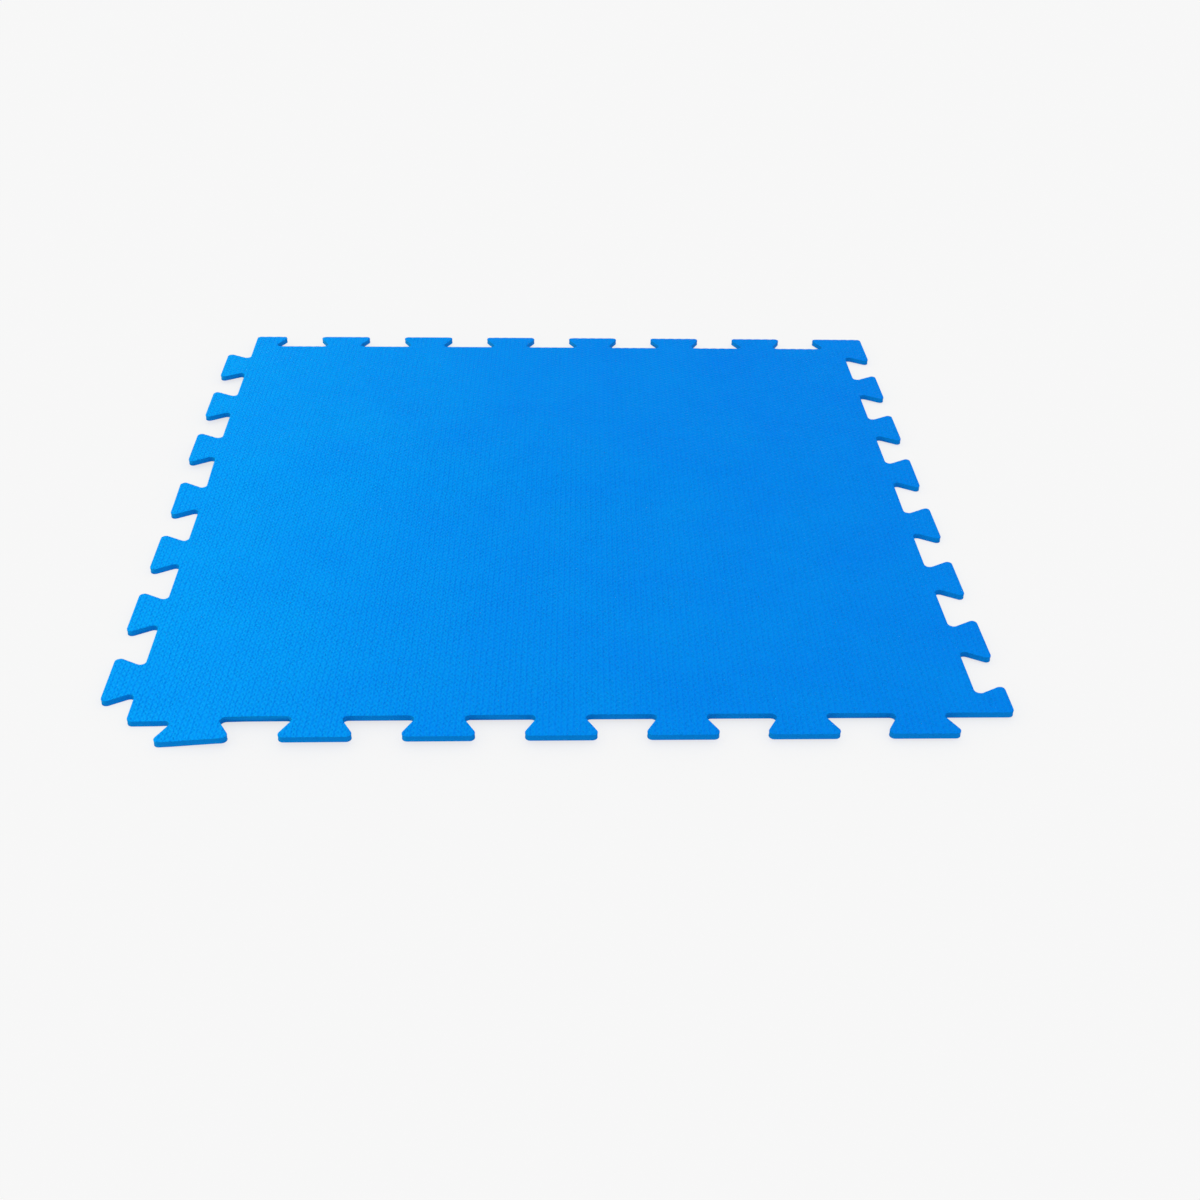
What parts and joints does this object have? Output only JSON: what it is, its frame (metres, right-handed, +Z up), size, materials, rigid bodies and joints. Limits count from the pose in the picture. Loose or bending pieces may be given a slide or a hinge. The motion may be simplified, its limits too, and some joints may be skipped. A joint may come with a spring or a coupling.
{
  "type": "interlocking foam blocking mat",
  "caption": "Flat square foam mat with dovetail tabs on two edges and matching sockets on the other two, laid edge to edge as a board for pinning out and blocking knitting.",
  "frame": {"origin": "middle of the outline's bounding square, on the underside, where the mat lies on a table or floor", "axes": "+Z up out of the embossed face, +X to the right, towards one edge with sockets, +Y to the back, towards the other edge with sockets; the tabs stand out towards -X and -Y"},
  "size_m": [1.0364, 1.0364, 0.008],
  "materials": {
    "underside_skin": "matt, finely embossed closed-cell EVA skin",
    "foam_core": "matt, die-cut closed-cell EVA foam",
    "top_skin": "matt to satin, embossed with a woven grain"
  },
  "bodies": {
    "root": {"underside_skin": "underside_skin", "foam_core": "foam_core", "top_skin": "top_skin"}
  },
  "joints": []
}
